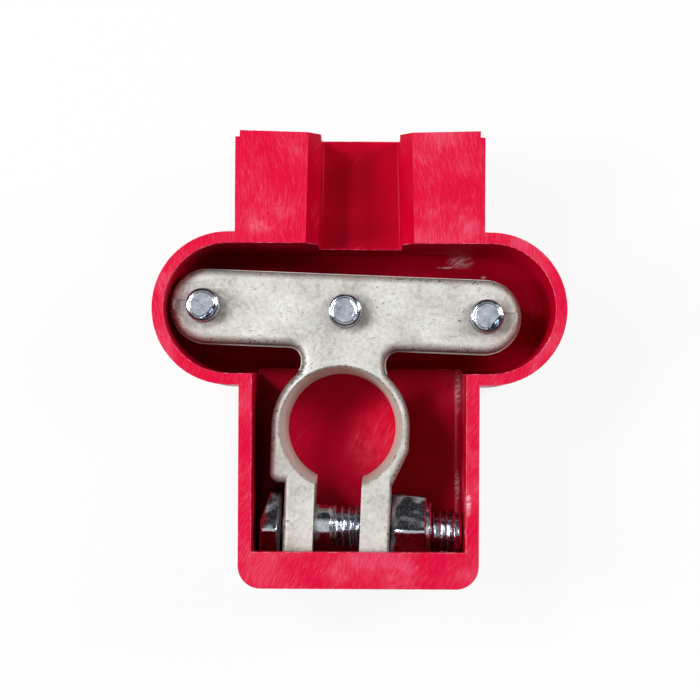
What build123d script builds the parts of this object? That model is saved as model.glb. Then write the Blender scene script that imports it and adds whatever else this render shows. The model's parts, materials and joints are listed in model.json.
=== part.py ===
from build123d import *
from math import cos, pi, radians, sin, sqrt, tan
import os

# T-bar battery terminal clamp resting in its open-sided terminal cover, in millimetres.
# The cover lies on its closed back with the open side up (+Z). The cable channel points along +Y.
# The clamp lies face down in the cover, so the wide mouth of its post bore looks up (+Z).

# ---- clamp casting ------------------------------------------------------------------------
bore_mouth_diameter = 21.6      # wide mouth of the spread bore, on the open side
bore_taper = 1 / 9              # diameter lost per millimetre of depth, the battery post taper
bore_edge_chamfer = 0.25
ring_height = 17.0
ring_wall = 1.5                 # at the wide mouth
bar_length = 62.2
bar_width = 13.0
bar_thickness = 9.0
neck_width = 14.7
neck_length = 4.24              # along its sides, from the ring to the bar
neck_bar_radius = 2.4
neck_ring_radius = 3.0
lug_gap = 8.3
lug_thickness = 5.35
lug_end_radius = 3.4            # rounded end of each lug, seen from its side
lug_beyond_bolt = 6.5
cheek_clearance = 0.25          # foot of the two cheeks to the turning corners of the bolt head
cheek_corner_radius = 1.8       # square cheek, beside the bolt head
cheek_slope_start = 3.8         # sloping cheek, beside the nut
cheek_slope_radius = 3.0
casting_draft = 1.5             # degrees, away from the parting line
casting_edge_radius = 0.7       # on the far side
casting_face_radius = 1.5       # on the open side, round the bar, the neck and the ring
lug_face_radius = 0.8           # on the open side, round the lugs
flash_width = 0.22
flash_thickness = 0.45
gate_groove_width = 1.7
gate_groove_depth = 0.3

# ---- M8 clamping bolt and nut -------------------------------------------------------------
bolt_diameter = 8.0
bolt_length = 32.2
bolt_tip_chamfer = 0.9
bolt_offset = 17.9              # bore axis to the bolt axis
bolt_rise = 0.3                 # bolt axis above the middle of the lugs, towards the wide mouth
bolt_hole_clearance = 0.4       # radial, in the lugs
bolt_head_flats = 13.0
bolt_head_height = 3.7
bolt_head_slant = 17.0          # degrees, how the crown falls away on the side of the ring
bolt_head_slant_start = 0.9     # from the bolt axis
bolt_head_crown_bevel = 0.35    # at the corners
bolt_head_bevel = 0.9           # scalloped edge on the lug side
bolt_head_gap = 0.4             # head to lug
bolt_head_turn = 6.0            # degrees about the bolt axis
nut_flats = 13.0
nut_hex_length = 6.2
nut_collar_diameter = 12.2
nut_collar_length = 0.9
nut_collar_radius = 0.4
nut_gap = 0.15                  # nut to lug
nut_free_turns = 4.0
bolt_pitch = 1.25

# ---- M6 terminal screws and their washers -------------------------------------------------
screw_diameter = 6.0
screw_end_distance = 6.1        # outer screws to the ends of the bar
screw_proud = 3.0               # threaded tip standing out of the bar
screw_tip_chamfer = 0.85
screw_head_flats = 10.0
screw_head_height = 4.0
screw_back_off = 3.5
flat_washer_diameter = 12.0
flat_washer_clearance = 0.2     # radial, over the screw
flat_washer_thickness = 1.6
spring_washer_diameter = 11.8
spring_washer_clearance = 0.15  # radial, over the screw
spring_washer_thickness = 1.6
spring_washer_slit = 1.1
spring_washer_slit_tilt = 22.0
thread_clearance = 0.05         # radial, plain cylinder in its threaded hole
hexagon_over = 0.05             # turned blank past the corners of its hexagon
hexagon_face_share = 0.95       # turned face of a hexagon, as a share of its flats

# ---- terminal cover -----------------------------------------------------------------------
back_thickness = 2.2
head_to_back_gap = 1.3          # left when a terminal screw is backed right off
rim_above_clamp = 4.8
bar_room = 4.85                 # each side of the bar, for cable lugs
bar_end_gap = 0.55
bolt_end_gap = 0.33
bolt_end_room = 0.6             # lugs, bolt head and nut to the end wall
bar_cavity_wall = 2.0
pocket_wall = 2.3               # round the ring and the lugs
lip_reach = 4.1
lip_thickness = 3.0
shelf_reach = 1.3               # floor under the ring, running in under the bar
cavity_draft = 1.0
bar_floor_radius = 2.5
pocket_floor_radius = 1.5
cover_corner_radius = 4.0
back_edge_radius = 1.5
block_reach = 17.6              # the two blocks beside the cable channel
blocks_width = 43.6
block_end_fall = 0.3
block_notch_width = 0.8
block_notch_length = 1.1
channel_mouth_width = 18.0      # at the rim, outer end
channel_root_width = 19.0       # at the rim, where it opens into the bar cavity
channel_depth = 12.5
channel_chamfer_width = 2.1
channel_chamfer_depth = 3.0
channel_floor_radius = 0.5
clamp_turn = -2.0               # degrees, how the clamp has settled in the cover
bar_settle_x = -2.58            # middle of the bar from the middle of its cavity
bar_settle_y = -0.21
cut_over = 1.0                  # how far cuts run past the faces they open

# ---- heights, from the back of the cover up -----------------------------------------------
stack_under_bar = flat_washer_thickness + spring_washer_thickness + screw_head_height
stack_height = back_thickness + head_to_back_gap + screw_back_off + stack_under_bar
clamp_z = max(stack_height + bar_thickness, back_thickness + ring_height)
shelf_z = clamp_z - ring_height
rim_z = clamp_z + rim_above_clamp

# ---- places in the clamp's own plane: origin on the bore axis at the wide mouth -----------
turned = radians(clamp_turn)
ring_radius = bore_mouth_diameter / 2 + ring_wall
lug_outer = lug_gap / 2 + lug_thickness
lug_reach = bolt_offset + lug_beyond_bolt
bolt_head_corner = bolt_head_flats / 2 / cos(pi / 6)
cheek_foot = bolt_offset - bolt_head_corner - cheek_clearance
neck_foot = sqrt(ring_radius**2 - (neck_width / 2) ** 2)
bar_offset = neck_foot + neck_length + bar_width / 2    # bore axis to the middle of the bar
bolt_depth = ring_height / 2 - bolt_rise
parting_depth = bar_thickness / 2
head_x = -lug_outer - bolt_head_gap
nut_x = lug_outer + nut_gap
bolt_end_x = head_x + bolt_length
nut_far_x = nut_x + nut_hex_length + nut_collar_length + nut_free_turns * bolt_pitch
screw_spacing = bar_length / 2 - screw_end_distance
screw_x = {"left": -screw_spacing, "middle": 0.0, "right": screw_spacing}
under_bar_radius = max(flat_washer_diameter, spring_washer_diameter, screw_head_flats / cos(pi / 6)) / 2
clamp_shift_x = bar_settle_x + bar_offset * sin(turned)
clamp_shift_y = bar_settle_y - bar_offset * cos(turned)


def cover_x(x, y):
    """X of a clamp point, from the middle of the bar cavity."""
    return clamp_shift_x + x * cos(turned) - y * sin(turned)


def cover_y(x, y):
    """Y of a clamp point, from the middle of the bar cavity."""
    return clamp_shift_y + x * sin(turned) + y * cos(turned)


# ---- cover sizes, from what the cover has to hold -----------------------------------------
bar_reach = -cover_x(-bar_length / 2, bar_offset)
washer_reach = under_bar_radius - cover_x(-screw_spacing, bar_offset)
cavity_length = 2 * (max(bar_reach, washer_reach) + bar_end_gap)
cavity_width = bar_width + 2 * bar_room
bolt_reach = cover_x(bolt_end_x, -bolt_offset)
nut_reach = cover_x(nut_far_x, nut_flats / 2 - bolt_offset)
crown_reach = -cover_x(head_x - bolt_head_height, -bolt_offset)
pocket_half = max(bolt_reach, nut_reach, crown_reach) + bolt_end_gap
head_end = bolt_head_corner - cover_y(head_x, -bolt_offset)
nut_end = nut_flats / 2 - cover_y(nut_far_x, -bolt_offset)
pocket_end = max(head_end, nut_end, -cover_y(lug_outer, -lug_reach)) + bolt_end_room
lip_edge = pocket_end - lip_reach
cover_bottom = pocket_end + pocket_wall
stadium_width = cavity_width + 2 * bar_cavity_wall
cover_top = stadium_width / 2 + block_reach
bar_cavity_y = (cover_bottom - cover_top) / 2       # centres the cover on the origin

cover_rim = Plane((0, bar_cavity_y, rim_z))
cover_back = Plane((0, bar_cavity_y, 0))
clamp_face = Plane(
    origin=(clamp_shift_x, clamp_shift_y + bar_cavity_y, clamp_z),
    x_dir=(cos(turned), sin(turned), 0),
    z_dir=(0, 0, 1),
)
clamp_section = Plane(clamp_face.origin, x_dir=clamp_face.x_dir, z_dir=-clamp_face.y_dir)
clamp_side = Plane(clamp_face.origin, x_dir=clamp_face.y_dir, z_dir=clamp_face.x_dir)
parting = clamp_face.offset(-parting_depth)
bolt_seat = Plane(
    clamp_face.from_local_coords(Vector(head_x, -bolt_offset, -bolt_depth)),
    x_dir=(0, 0, 1),
    z_dir=clamp_face.x_dir,
)
nut_seat = bolt_seat.offset(nut_x - head_x)

os.makedirs("parts", exist_ok=True)


# ---- terminal cover: one soft moulding ----------------------------------------------------
# The two hollows are built as mould cores first, then taken out of the outer block.
with BuildPart() as bar_core:
    with BuildSketch(cover_rim):
        SlotOverall(cavity_length, cavity_width)
    extrude(amount=back_thickness - rim_z, taper=cavity_draft)
    fillet(bar_core.edges().group_by(Axis.Z)[0], bar_floor_radius)
    with BuildSketch(cover_back.offset(back_thickness - cut_over)):
        with Locations((0, -cavity_width)):
            Rectangle(2 * pocket_half, cavity_width + 2 * shelf_reach)
    extrude(amount=shelf_z - back_thickness + cut_over, mode=Mode.SUBTRACT)

with BuildPart() as pocket_core:
    with BuildSketch(Plane.YZ):
        with BuildLine():
            Polyline(
                (bar_cavity_y, shelf_z),
                (bar_cavity_y - pocket_end, shelf_z),
                (bar_cavity_y - pocket_end, rim_z - lip_thickness),
                (bar_cavity_y - lip_edge, rim_z - lip_thickness),
                (bar_cavity_y - lip_edge, rim_z + cut_over),
                (bar_cavity_y, rim_z + cut_over),
                close=True,
            )
        make_face()
    extrude(amount=pocket_half, both=True)
    floor_edges = pocket_core.edges().group_by(Axis.Z)[0]
    fillet(floor_edges.sort_by(Axis.Y)[:-1], pocket_floor_radius)

with BuildPart() as channel_core:
    channel_ends = (
        (cover_top + cut_over, channel_mouth_width),
        (cavity_width / 2 - bar_cavity_wall, channel_root_width),
    )
    for end_y, rim_width in channel_ends:
        channel_end = Plane((0, bar_cavity_y + end_y, rim_z), x_dir=(1, 0, 0), z_dir=(0, -1, 0))
        floor_half = rim_width / 2 - channel_chamfer_width
        with BuildSketch(channel_end) as channel_section:
            with BuildLine():
                Polyline(
                    (rim_width / 2, cut_over),
                    (rim_width / 2, 0),
                    (floor_half, -channel_chamfer_depth),
                    (floor_half, -channel_depth),
                    (-floor_half, -channel_depth),
                    (-floor_half, -channel_chamfer_depth),
                    (-rim_width / 2, 0),
                    (-rim_width / 2, cut_over),
                    close=True,
                )
            make_face()
            fillet(channel_section.vertices().group_by(Axis.Y)[0], channel_floor_radius)
    loft()

with BuildPart() as cover:
    with BuildSketch(cover_back) as cover_outline:
        SlotOverall(cavity_length + 2 * bar_cavity_wall, stadium_width)
        with Locations((0, -cover_bottom / 2)):
            Rectangle(2 * (pocket_half + pocket_wall), cover_bottom)
        fillet(cover_outline.vertices().group_by(Axis.Y)[0], cover_corner_radius)
        with BuildLine():
            block_edge = Polyline(
                (0, 0),
                (blocks_width / 2, 0),
                (blocks_width / 2, cover_top - block_notch_length),
                (blocks_width / 2 - block_notch_width, cover_top - block_notch_length),
                (blocks_width / 2 - block_notch_width, cover_top),
                (channel_mouth_width / 2, cover_top - block_end_fall),
                (0, cover_top - block_end_fall),
            )
            mirror(block_edge, about=Plane.YZ)
        make_face()
    extrude(amount=rim_z)
    fillet(cover.edges().group_by(Axis.Z)[0], back_edge_radius)
    add(bar_core.part, mode=Mode.SUBTRACT)
    add(pocket_core.part, mode=Mode.SUBTRACT)
    add(channel_core.part, mode=Mode.SUBTRACT)

cover.part.label = "cover"
export_step(cover.part, "parts/cover.step")


# ---- clamp casting: bar, neck, split ring and two lugs in one piece -----------------------
with BuildSketch(parting) as ring_outline:
    Circle(ring_radius)
    with Locations((-ring_radius / 2, -cheek_foot / 2)):
        Rectangle(ring_radius, cheek_foot)
    square_corner = ring_outline.vertices().sort_by_distance((-ring_radius, -cheek_foot))[0]
    fillet(square_corner, cheek_corner_radius)
    with BuildLine():
        Polyline(
            (0, 0),
            (ring_radius, 0),
            (ring_radius, -cheek_slope_start),
            (lug_outer, -cheek_foot),
            (0, -cheek_foot),
            close=True,
        )
    make_face()
    slope_corner = ring_outline.vertices().sort_by_distance((ring_radius, -cheek_slope_start))[0]
    fillet(slope_corner, cheek_slope_radius)
    with Locations((0, -lug_reach / 2)):
        Rectangle(2 * lug_outer, lug_reach)

with BuildSketch(parting) as casting_outline:
    with Locations((0, bar_offset)):
        SlotOverall(bar_length, bar_width)
    with Locations((0, bar_offset / 2)):
        Rectangle(neck_width, bar_offset)
    bar_corners = casting_outline.vertices().sort_by_distance((0, bar_offset - bar_width / 2))[:2]
    fillet(bar_corners, min(neck_bar_radius, 0.57 * neck_length))
    add(ring_outline.sketch_local)
    ring_corners = casting_outline.vertices().sort_by_distance((0, neck_foot))[:2]
    fillet(ring_corners, min(neck_ring_radius, 0.72 * neck_length))

with BuildSketch(parting.offset(-flash_thickness / 2)) as flash_outline:
    add(casting_outline.sketch_local)
    offset(amount=flash_width)
    with Locations((0, -lug_reach)):
        Rectangle(3 * ring_radius, 2 * (lug_reach + neck_foot), mode=Mode.SUBTRACT)

with BuildPart() as near_half:
    extrude(casting_outline.sketch, amount=parting_depth)
    draft(near_half.faces().filter_by(Axis.Z, reverse=True), parting, casting_draft)
    bar_and_ring_edges = near_half.edges().group_by(Axis.Z)[-1].sort_by(Axis.Y)[3:]
    fillet(bar_and_ring_edges, min(casting_face_radius, 0.85 * cheek_corner_radius))
    lug_edges = near_half.edges().group_by(Axis.Z)[-1].sort_by(Axis.Y)[:3]
    fillet(lug_edges, lug_face_radius)

with BuildPart() as far_half:
    extrude(casting_outline.sketch, amount=parting_depth - bar_thickness)
    draft(far_half.faces().filter_by(Axis.Z, reverse=True), parting, -casting_draft)
    fillet(far_half.edges().group_by(Axis.Z)[0], casting_edge_radius)

with BuildPart() as ring_boss:
    extrude(ring_outline.sketch, amount=parting_depth - ring_height)
    draft(ring_boss.faces().filter_by(Axis.Z, reverse=True), parting, -casting_draft)
    fillet(ring_boss.edges().group_by(Axis.Z)[0], casting_edge_radius)

with BuildPart() as clamp_body:
    add(near_half.part)
    add(far_half.part)
    add(ring_boss.part)
    extrude(flash_outline.sketch, amount=flash_thickness)

    # tapered post bore, with its edge broken at the wide mouth
    with BuildSketch(clamp_section):
        mouth_radius = bore_mouth_diameter / 2
        with BuildLine():
            Polyline(
                (0, cut_over),
                (mouth_radius + bore_edge_chamfer, cut_over),
                (mouth_radius + bore_edge_chamfer, 0),
                (mouth_radius, -bore_edge_chamfer),
                (mouth_radius - (ring_height + cut_over) * bore_taper / 2, -ring_height - cut_over),
                (0, -ring_height - cut_over),
                close=True,
            )
        make_face()
    revolve(axis=Axis(clamp_face.origin, (0, 0, 1)), mode=Mode.SUBTRACT)

    # slot between the lugs
    with BuildSketch(clamp_face.offset(cut_over)):
        with Locations((0, -lug_reach)):
            Rectangle(lug_gap, 2 * lug_reach)
    extrude(amount=-ring_height - 2 * cut_over, mode=Mode.SUBTRACT)

    # rounded lug ends, seen from the side
    with BuildSketch(clamp_side):
        with Locations((-lug_reach, 0), (-lug_reach, -ring_height)):
            Rectangle(2 * lug_end_radius, 2 * lug_end_radius)
        with Locations(
            (lug_end_radius - lug_reach, -lug_end_radius),
            (lug_end_radius - lug_reach, lug_end_radius - ring_height),
        ):
            Circle(lug_end_radius, mode=Mode.SUBTRACT)
    extrude(amount=lug_outer + cut_over, both=True, mode=Mode.SUBTRACT)

    # holes for the clamping bolt and the terminal screws
    with BuildSketch(bolt_seat):
        Circle(bolt_diameter / 2 + bolt_hole_clearance)
    extrude(amount=2 * (lug_outer + bolt_head_gap), mode=Mode.SUBTRACT)
    with BuildSketch(clamp_face):
        with Locations([(x, bar_offset) for x in screw_x.values()]):
            Circle(screw_diameter / 2 + thread_clearance)
    extrude(amount=cut_over - ring_height, mode=Mode.SUBTRACT)

    # shallow grooves left by the casting gates, from the outer screws to the bar's ends
    with BuildSketch(clamp_face):
        with Locations((-bar_length / 2, bar_offset), (bar_length / 2, bar_offset)):
            Rectangle(2 * screw_end_distance, gate_groove_width)
    extrude(amount=-gate_groove_depth, mode=Mode.SUBTRACT)

clamp_body.part.label = "clamp_body"
export_step(clamp_body.part, "parts/clamp_body.step")


# ---- hexagons with their corners turned down ----------------------------------------------
def bevelled_hexagon(end, flats, length):
    """Hexagon reaching back from an end plane, its corners turned down there at 30 degrees."""
    corner = flats / 2 / cos(pi / 6) + hexagon_over
    face_radius = hexagon_face_share * flats / 2
    with BuildPart() as hexagon:
        with BuildSketch(Plane(end.origin, x_dir=end.x_dir, z_dir=-end.y_dir)):
            with BuildLine():
                Polyline(
                    (0, 0),
                    (face_radius, 0),
                    (corner, (face_radius - corner) * tan(pi / 6)),
                    (corner, -length),
                    (0, -length),
                    close=True,
                )
            make_face()
        revolve(axis=Axis(end.origin, end.z_dir))
        with BuildSketch(end):
            RegularPolygon(flats / 2, 6, major_radius=False)
        extrude(amount=-length, mode=Mode.INTERSECT)
    return hexagon.part


# ---- M8 clamping bolt with a slanted crown, and its collared nut -----------------------------
head_plane = Plane(bolt_seat.origin, x_dir=bolt_seat.x_dir, z_dir=-bolt_seat.z_dir)
head_section = Plane(head_plane.origin, x_dir=head_plane.x_dir, z_dir=-head_plane.y_dir)
crown_section = Plane(head_plane.origin, x_dir=clamp_face.y_dir, z_dir=(0, 0, 1))
crown_over = bolt_head_corner + hexagon_over
bolt_line = Axis(bolt_seat.origin, bolt_seat.z_dir)

with BuildPart() as clamp_bolt:
    with BuildSketch(head_section):
        with BuildLine():
            Polyline(
                (0, bolt_head_height),
                (0, 0),
                (bolt_head_corner - bolt_head_bevel, 0),
                (crown_over, bolt_head_bevel),
                (crown_over, bolt_head_height - bolt_head_crown_bevel),
                (crown_over - bolt_head_crown_bevel, bolt_head_height),
                close=True,
            )
        make_face()
    revolve(axis=bolt_line)
    with BuildSketch(head_plane):
        RegularPolygon(bolt_head_flats / 2, 6, major_radius=False, rotation=bolt_head_turn)
    extrude(amount=bolt_head_height + cut_over, mode=Mode.INTERSECT)
    with BuildSketch(crown_section):
        with BuildLine():
            crown_fall = (crown_over - bolt_head_slant_start) * tan(radians(bolt_head_slant))
            Polyline(
                (bolt_head_slant_start, bolt_head_height),
                (crown_over, bolt_head_height - crown_fall),
                (crown_over, bolt_head_height + cut_over),
                close=True,
            )
        make_face()
    extrude(amount=crown_over, both=True, mode=Mode.SUBTRACT)
    with BuildSketch(bolt_seat):
        Circle(bolt_diameter / 2)
    extrude(amount=bolt_length)
    chamfer(clamp_bolt.edges().sort_by(bolt_line)[-1], bolt_tip_chamfer)

clamp_bolt.part.label = "clamp_bolt"
export_step(clamp_bolt.part, "parts/clamp_bolt.step")

with BuildPart() as clamp_nut:
    nut_face = Plane(nut_seat.origin, x_dir=nut_seat.x_dir, z_dir=-nut_seat.z_dir)
    add(bevelled_hexagon(nut_face, nut_flats, nut_hex_length))
    with BuildSketch(nut_seat.offset(nut_hex_length)):
        Circle(nut_collar_diameter / 2)
    extrude(amount=nut_collar_length)
    fillet(clamp_nut.edges().sort_by(bolt_line)[-1], nut_collar_radius)
    with BuildSketch(nut_seat):
        Circle(bolt_diameter / 2 + thread_clearance)
    extrude(amount=nut_hex_length + nut_collar_length, mode=Mode.SUBTRACT)

clamp_nut.part.label = "clamp_nut"
export_step(clamp_nut.part, "parts/clamp_nut.step")


# ---- three M6 terminal screws, each with a flat washer and a spring washer ----------------
for side, x in screw_x.items():
    flat_seat = Plane(
        clamp_face.from_local_coords(Vector(x, bar_offset, -bar_thickness)),
        x_dir=clamp_face.x_dir,
        z_dir=(0, 0, -1),
    )
    spring_seat = flat_seat.offset(flat_washer_thickness)
    head_seat = spring_seat.offset(spring_washer_thickness)

    with BuildPart() as flat_washer:
        with BuildSketch(flat_seat):
            Circle(flat_washer_diameter / 2)
            Circle(screw_diameter / 2 + flat_washer_clearance, mode=Mode.SUBTRACT)
        extrude(amount=flat_washer_thickness)
    flat_washer.part.label = f"flat_washer_{side}"
    export_step(flat_washer.part, f"parts/flat_washer_{side}.step")

    slit = Plane(spring_seat.offset(spring_washer_thickness / 2).origin, z_dir=clamp_face.x_dir)
    with BuildPart() as spring_washer:
        with BuildSketch(spring_seat):
            Circle(spring_washer_diameter / 2)
            Circle(screw_diameter / 2 + spring_washer_clearance, mode=Mode.SUBTRACT)
        extrude(amount=spring_washer_thickness)
        with BuildSketch(slit):
            Rectangle(3 * spring_washer_thickness, spring_washer_slit, rotation=spring_washer_slit_tilt)
        extrude(amount=spring_washer_diameter, mode=Mode.SUBTRACT)
    spring_washer.part.label = f"spring_washer_{side}"
    export_step(spring_washer.part, f"parts/spring_washer_{side}.step")

    with BuildPart() as bar_screw:
        add(bevelled_hexagon(head_seat.offset(screw_head_height), screw_head_flats, screw_head_height))
        with BuildSketch(head_seat):
            Circle(screw_diameter / 2)
        extrude(amount=-(spring_washer_thickness + flat_washer_thickness + bar_thickness + screw_proud))
        chamfer(bar_screw.edges().sort_by(Axis.Z)[-1], screw_tip_chamfer)
    bar_screw.part.label = f"bar_screw_{side}"
    export_step(bar_screw.part, f"parts/bar_screw_{side}.step")
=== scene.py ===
"""Battery terminal clamp lying in its soft cover: finishes, threaded fasteners and a plain stage."""

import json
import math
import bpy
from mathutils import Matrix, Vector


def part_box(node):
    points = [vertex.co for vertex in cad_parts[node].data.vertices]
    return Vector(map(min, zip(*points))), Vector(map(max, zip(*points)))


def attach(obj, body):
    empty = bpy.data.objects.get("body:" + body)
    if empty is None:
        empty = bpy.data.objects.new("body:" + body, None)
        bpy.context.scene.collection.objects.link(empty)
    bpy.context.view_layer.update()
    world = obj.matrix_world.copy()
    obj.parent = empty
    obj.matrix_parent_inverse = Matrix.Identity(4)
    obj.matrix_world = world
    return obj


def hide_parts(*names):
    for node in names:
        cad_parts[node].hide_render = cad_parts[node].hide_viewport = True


bl_info = {
    "name": "Battery Terminal Clamp",
    "version": (1, 0, 0),
    "blender": (4, 5, 0),
    "location": "View3D > Sidebar > Clamp",
    "description": "Dresses a battery terminal clamp and its cover, and sets a plain stage for them",
    "category": "Object",
}

import bmesh
import bpy
from mathutils import Vector

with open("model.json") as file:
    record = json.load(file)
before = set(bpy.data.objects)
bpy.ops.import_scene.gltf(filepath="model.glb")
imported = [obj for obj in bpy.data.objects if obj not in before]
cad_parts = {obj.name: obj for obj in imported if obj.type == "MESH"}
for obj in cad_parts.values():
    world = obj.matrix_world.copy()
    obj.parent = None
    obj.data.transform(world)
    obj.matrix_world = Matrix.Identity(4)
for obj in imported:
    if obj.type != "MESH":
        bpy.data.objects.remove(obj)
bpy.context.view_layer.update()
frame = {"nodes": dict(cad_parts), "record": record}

MM = 0.001
SIDES = ("left", "middle", "right")
UP = Vector((0.0, 0.0, 1.0))
JOINTS = {joint["name"]: joint for joint in frame["record"]["behaviour"]["joints"]}
MOUNTS = {mount["name"]: mount for mount in frame["record"]["mounts"]}
BOLT_LINE = -Vector(JOINTS["clamp_bolt_turn"]["axis"])
BOLT_FOOT = Vector(JOINTS["clamp_bolt_turn"]["pos_m"])
RIM_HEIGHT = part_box("cover")[1][2]


# ---- sizes and colours a user would change -------------------------------------------------
class FastenerSettings(bpy.types.PropertyGroup):
    """Sizes of the pinch bolt, its nut and the terminal screws."""

    bolt_thread: bpy.props.FloatProperty(
        name="Bolt Thread", description="Outside diameter of the pinch bolt's thread",
        default=8.0 * MM, unit="LENGTH")
    bolt_pitch: bpy.props.FloatProperty(
        name="Bolt Pitch", description="Distance between turns of the pinch bolt's thread",
        default=1.25 * MM, unit="LENGTH")
    bolt_plain: bpy.props.FloatProperty(
        name="Plain Shank", description="Plain length of the pinch bolt under its head",
        default=8.4 * MM, unit="LENGTH")
    bolt_length: bpy.props.FloatProperty(
        name="Bolt Length", description="Length of the pinch bolt under its head",
        default=32.2 * MM, unit="LENGTH")
    bolt_flats: bpy.props.FloatProperty(
        name="Bolt Head Flats", description="Width across the flats of the pinch bolt's head",
        default=13.0 * MM, unit="LENGTH")
    bolt_head: bpy.props.FloatProperty(
        name="Bolt Head Height", description="Height of the pinch bolt's head at its crown",
        default=3.7 * MM, unit="LENGTH")
    crown_slant: bpy.props.FloatProperty(
        name="Crown Slant", description="How steeply the crown falls away on one side",
        default=math.radians(17.0), unit="ROTATION")
    nut_flats: bpy.props.FloatProperty(
        name="Nut Flats", description="Width across the flats of the nut",
        default=13.0 * MM, unit="LENGTH")
    nut_hexagon: bpy.props.FloatProperty(
        name="Nut Hexagon", description="Length of the nut's hexagon",
        default=6.2 * MM, unit="LENGTH")
    nut_collar: bpy.props.FloatProperty(
        name="Nut Collar", description="Diameter of the round collar on the nut's outer end",
        default=12.2 * MM, unit="LENGTH")
    nut_collar_length: bpy.props.FloatProperty(
        name="Collar Length", description="Length of the nut's collar",
        default=0.9 * MM, unit="LENGTH")
    nut_start: bpy.props.FloatProperty(
        name="Nut Place", description="Distance from under the bolt's head to the nut",
        default=19.55 * MM, unit="LENGTH")
    screw_thread: bpy.props.FloatProperty(
        name="Screw Thread", description="Outside diameter of the terminal screws' thread",
        default=6.0 * MM, unit="LENGTH")
    screw_pitch: bpy.props.FloatProperty(
        name="Screw Pitch", description="Distance between turns of the terminal screws' thread",
        default=1.0 * MM, unit="LENGTH")
    screw_flats: bpy.props.FloatProperty(
        name="Screw Head Flats", description="Width across the flats of the terminal screws' heads",
        default=10.0 * MM, unit="LENGTH")
    screw_head: bpy.props.FloatProperty(
        name="Screw Head Height", description="Height of the terminal screws' heads",
        default=4.0 * MM, unit="LENGTH")


class FinishSettings(bpy.types.PropertyGroup):
    """Colours of the moulding, the casting and the plating, as sRGB hex values."""

    cover_red: bpy.props.StringProperty(
        name="Cover Red", description="Colour of the moulded faces", default="#D2002D")
    rim_red: bpy.props.StringProperty(
        name="Sanded Red", description="Colour of the sanded rims", default="#E0003A")
    casting_grey: bpy.props.StringProperty(
        name="Casting Grey", description="Colour of the clean casting", default="#D2CFC8")
    plating: bpy.props.StringProperty(
        name="Plating", description="Colour of the zinc plating", default="#CDD2DA")


class StageSettings(bpy.types.PropertyGroup):
    """Camera and lamps."""

    camera_height: bpy.props.FloatProperty(
        name="Camera Height", description="Camera above the cover's rim", default=0.365, unit="LENGTH")
    camera_across: bpy.props.FloatProperty(
        name="Camera Across", description="Camera right of the cover's middle",
        default=3.662 * MM, unit="LENGTH")
    camera_along: bpy.props.FloatProperty(
        name="Camera Along", description="Camera ahead of the cover's middle",
        default=-9.562 * MM, unit="LENGTH")
    camera_roll: bpy.props.FloatProperty(
        name="Camera Roll", description="Turn of the camera about its line of sight",
        default=math.radians(0.3), unit="ROTATION")
    focal_length: bpy.props.FloatProperty(
        name="Focal Length", description="Focal length in millimetres on a 36 mm sensor", default=107.94)
    key_power: bpy.props.FloatProperty(
        name="Left Box", description="Power of the main lamp on the left",
        default=3.15, unit="POWER")
    high_power: bpy.props.FloatProperty(
        name="High Left Box", description="Power of the higher lamp on the left",
        default=1.75, unit="POWER")
    fill_power: bpy.props.FloatProperty(
        name="Right Box", description="Power of the lamp on the right",
        default=1.15, unit="POWER")
    rear_power: bpy.props.FloatProperty(
        name="Low Right Box", description="Power of the low lamp behind on the right",
        default=1.7, unit="POWER")


# ---- material tools --------------------------------------------------------------------------
def linear(code):
    """Linear RGBA of an sRGB hex value such as #C4001F."""
    channels = [int(code[i:i + 2], 16) / 255 for i in (1, 3, 5)]
    return [c / 12.92 if c <= 0.04045 else ((c + 0.055) / 1.055) ** 2.4 for c in channels] + [1.0]


def add_node(tree, kind, settings=None, links=None, stops=()):
    """Adds a node, sets its properties, socket values and colour stops, and links its inputs."""
    node = tree.nodes.new(kind)
    for key, value in (settings or {}).items():
        if isinstance(key, str) and hasattr(node, key):
            setattr(node, key, value)
        else:
            node.inputs[key].default_value = value
    for key, socket in (links or {}).items():
        tree.links.new(socket, node.inputs[key])
    for index, (position, colour) in enumerate(stops):
        elements = node.color_ramp.elements
        element = elements[index] if index < len(elements) else elements.new(position)
        element.position = position
        element.color = linear(colour) if isinstance(colour, str) else (colour, colour, colour, 1.0)
    return node


def new_material(name):
    """An empty node material with its shader, output and millimetre coordinates."""
    material = bpy.data.materials.new(name)
    material.use_nodes = True
    tree = material.node_tree
    tree.nodes.clear()
    shader = add_node(tree, "ShaderNodeBsdfPrincipled")
    add_node(tree, "ShaderNodeOutputMaterial", links={"Surface": shader.outputs["BSDF"]})
    where = add_node(tree, "ShaderNodeTexCoord")
    mm = add_node(tree, "ShaderNodeMapping", {"Scale": (1 / MM, 1 / MM, 1 / MM)},
                  {"Vector": where.outputs["Object"]})
    return material, tree, shader, mm.outputs["Vector"]


def strongest(tree, masks):
    """The strongest of several masks."""
    total = masks[0]
    for mask in masks[1:]:
        larger = add_node(tree, "ShaderNodeMath", {"operation": "MAXIMUM"}, {0: total, 1: mask})
        total = larger.outputs[0]
    return total


def streaks(tree, place, turn, per_mm, detail, roughness, shift=0.0):
    """A pattern drawn out into streaks, turned by some degrees about the vertical."""
    turned = add_node(tree, "ShaderNodeMapping",
                      {"Rotation": (0, 0, math.radians(-turn)), "Location": (shift, 0, 0)},
                      {"Vector": place})
    drawn = add_node(tree, "ShaderNodeMapping", {"Scale": per_mm}, {"Vector": turned.outputs[0]})
    noise = add_node(tree, "ShaderNodeTexNoise", {"Scale": 1.0, "Detail": detail, "Roughness": roughness},
                     {"Vector": drawn.outputs[0]})
    return noise.outputs["Fac"]


def dress(piece, material):
    """Gives a piece one material."""
    piece.data.materials.clear()
    piece.data.materials.append(material)


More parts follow.
